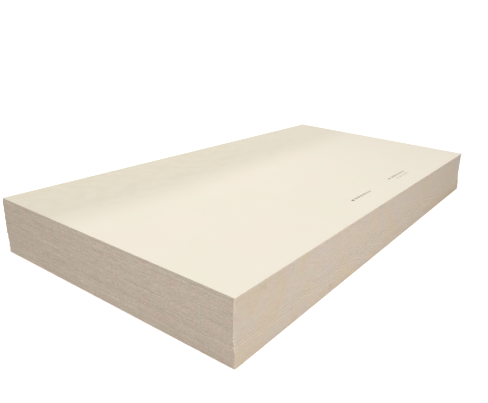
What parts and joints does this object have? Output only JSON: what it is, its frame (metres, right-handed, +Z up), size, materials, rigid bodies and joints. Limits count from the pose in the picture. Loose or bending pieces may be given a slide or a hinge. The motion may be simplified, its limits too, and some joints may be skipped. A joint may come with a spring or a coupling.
{
  "type": "pack of fibre cement boards",
  "caption": "Pack of full-size flat fibre cement boards laid face to face, with smooth cream faces, square trimmed long sides and fine-lined cross-cut ends.",
  "frame": {"origin": "centre of the bottom board's underside, on the floor", "axes": "+X along the boards' length, +Y across their width, away from the long side that the picture shows, +Z up through the pack"},
  "size_m": [2.4416, 1.2346, 0.24],
  "materials": {
    "fibre_cement": "pressed smooth and matt on the faces, sawn on the ends and long sides"
  },
  "bodies": {
    "root": {"board_01": "fibre_cement", "board_02": "fibre_cement", "board_03": "fibre_cement", "board_04": "fibre_cement", "board_05": "fibre_cement", "board_06": "fibre_cement", "board_07": "fibre_cement", "board_08": "fibre_cement", "board_09": "fibre_cement", "board_10": "fibre_cement", "board_11": "fibre_cement", "board_12": "fibre_cement", "board_13": "fibre_cement", "board_14": "fibre_cement", "board_15": "fibre_cement", "board_16": "fibre_cement", "board_17": "fibre_cement", "board_18": "fibre_cement", "board_19": "fibre_cement", "board_20": "fibre_cement"}
  },
  "joints": []
}
